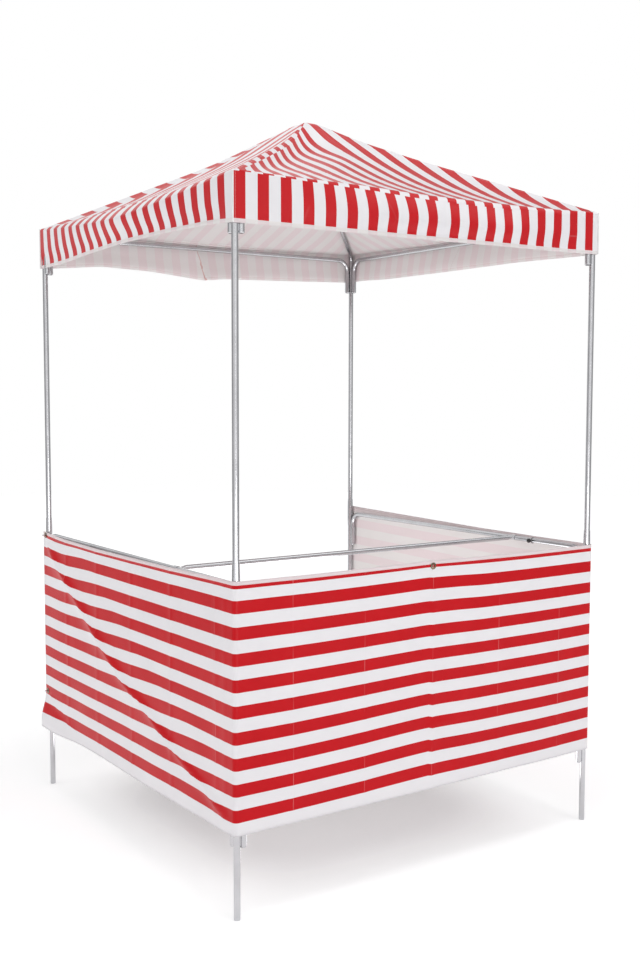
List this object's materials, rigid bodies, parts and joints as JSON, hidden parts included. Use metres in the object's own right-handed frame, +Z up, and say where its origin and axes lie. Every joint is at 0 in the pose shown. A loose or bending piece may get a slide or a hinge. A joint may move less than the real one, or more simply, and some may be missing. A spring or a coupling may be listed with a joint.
{
  "type": "market stall",
  "caption": "Square market stall: plug-together zinc-plated tube frame, striped canopy on a four-sided roof with valance, and a striped skirt round three sides.",
  "frame": {"origin": "middle of the footprint, on the floor", "axes": "+Z up, -Y towards the customer side (front), +X to the customer's right"},
  "size_m": [1.5392, 1.5167, 2.5819],
  "materials": {
    "zinc_steel": "bright zinc plate",
    "canopy_pvc": "striped coated sheet, satin",
    "skirt_pvc": "striped coated sheet, satin",
    "eyelet_brass": "plated",
    "tie_black": "satin",
    "elastic": "woven cover",
    "cap_plastic": "matt"
  },
  "bodies": {
    "root": {"counter_bar": "zinc_steel", "counter_rail_front": "zinc_steel", "counter_rail_left": "zinc_steel", "counter_rail_right": "zinc_steel", "crown_cap": "cap_plastic", "crown_hub": "zinc_steel", "eyelets": "eyelet_brass", "lower_post_back_left": "zinc_steel", "lower_post_back_right": "zinc_steel", "lower_post_front_left": "zinc_steel", "lower_post_front_right": "zinc_steel", "lower_rail_front": "zinc_steel", "lower_rail_left": "zinc_steel", "lower_rail_right": "zinc_steel", "rafter_back_left": "zinc_steel", "rafter_back_right": "zinc_steel", "rafter_front_left": "zinc_steel", "rafter_front_right": "zinc_steel", "roof_panel_back": "canopy_pvc", "roof_panel_front": "canopy_pvc", "roof_panel_left": "canopy_pvc", "roof_panel_right": "canopy_pvc", "skirt_front": "skirt_pvc", "skirt_left": "skirt_pvc", "skirt_right": "skirt_pvc", "tie_balls": "tie_black", "tie_loops": "elastic", "top_rail_back_long": "zinc_steel", "top_rail_back_short": "zinc_steel", "top_rail_front_long": "zinc_steel", "top_rail_front_short": "zinc_steel", "top_rail_left_long": "zinc_steel", "top_rail_left_short": "zinc_steel", "top_rail_right_long": "zinc_steel", "top_rail_right_short": "zinc_steel", "upper_post_back_left": "zinc_steel", "upper_post_back_right": "zinc_steel", "upper_post_front_left": "zinc_steel", "upper_post_front_right": "zinc_steel", "valance_back": "canopy_pvc", "valance_front": "canopy_pvc", "valance_left": "canopy_pvc", "valance_right": "canopy_pvc"}
  },
  "joints": []
}
